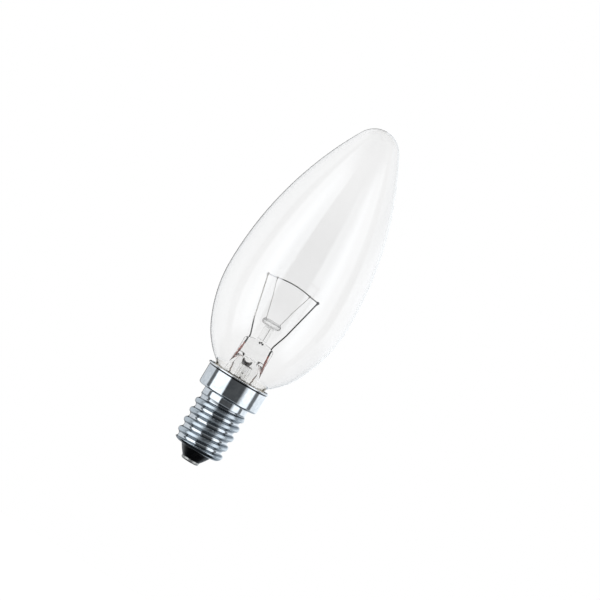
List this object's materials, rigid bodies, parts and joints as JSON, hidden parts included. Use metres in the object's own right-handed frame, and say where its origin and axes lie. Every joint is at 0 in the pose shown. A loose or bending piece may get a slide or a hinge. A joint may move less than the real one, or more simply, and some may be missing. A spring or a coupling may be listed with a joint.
{
  "type": "candle bulb",
  "caption": "Clear candle-shaped filament lamp: blown glass bulb over a glass stem with wires and an arched coil, on a small screw cap with an insulated centre contact.",
  "frame": {"origin": "centre of the outer face of the centre contact", "axes": "+Z along the lamp's axis from the centre contact to the glass tip, +X along the filament to the right as seen from the front, which is -Y"},
  "size_m": [0.035, 0.035, 0.0986],
  "materials": {
    "clear_glass": "clear, polished",
    "stem_glass": "clear, drawn",
    "molybdenum_wire": "drawn",
    "nickel_wire": "drawn",
    "seal_wire_copper": "reddish, oxidised",
    "lead_copper": "dull",
    "tungsten": "matt",
    "cap_sheet": "bright, rolled",
    "black_glass": "opaque, glossy",
    "contact_metal": "tinned",
    "solder": "smooth",
    "cement": "matt"
  },
  "bodies": {
    "root": {"glass_envelope": "clear_glass", "stem_flare": "stem_glass", "exhaust_tube": "stem_glass", "arbor_rod": "stem_glass", "support_wire_left": "molybdenum_wire", "support_wire_right": "molybdenum_wire", "inner_lead_left": "nickel_wire", "inner_lead_right": "nickel_wire", "seal_wire_left": "seal_wire_copper", "seal_wire_right": "seal_wire_copper", "outer_lead_centre": "lead_copper", "outer_lead_side": "lead_copper", "filament": "tungsten", "cap_shell": "cap_sheet", "insulator": "black_glass", "contact_plate": "contact_metal", "contact_solder": "solder", "side_solder": "solder", "capping_cement": "cement"}
  },
  "joints": []
}
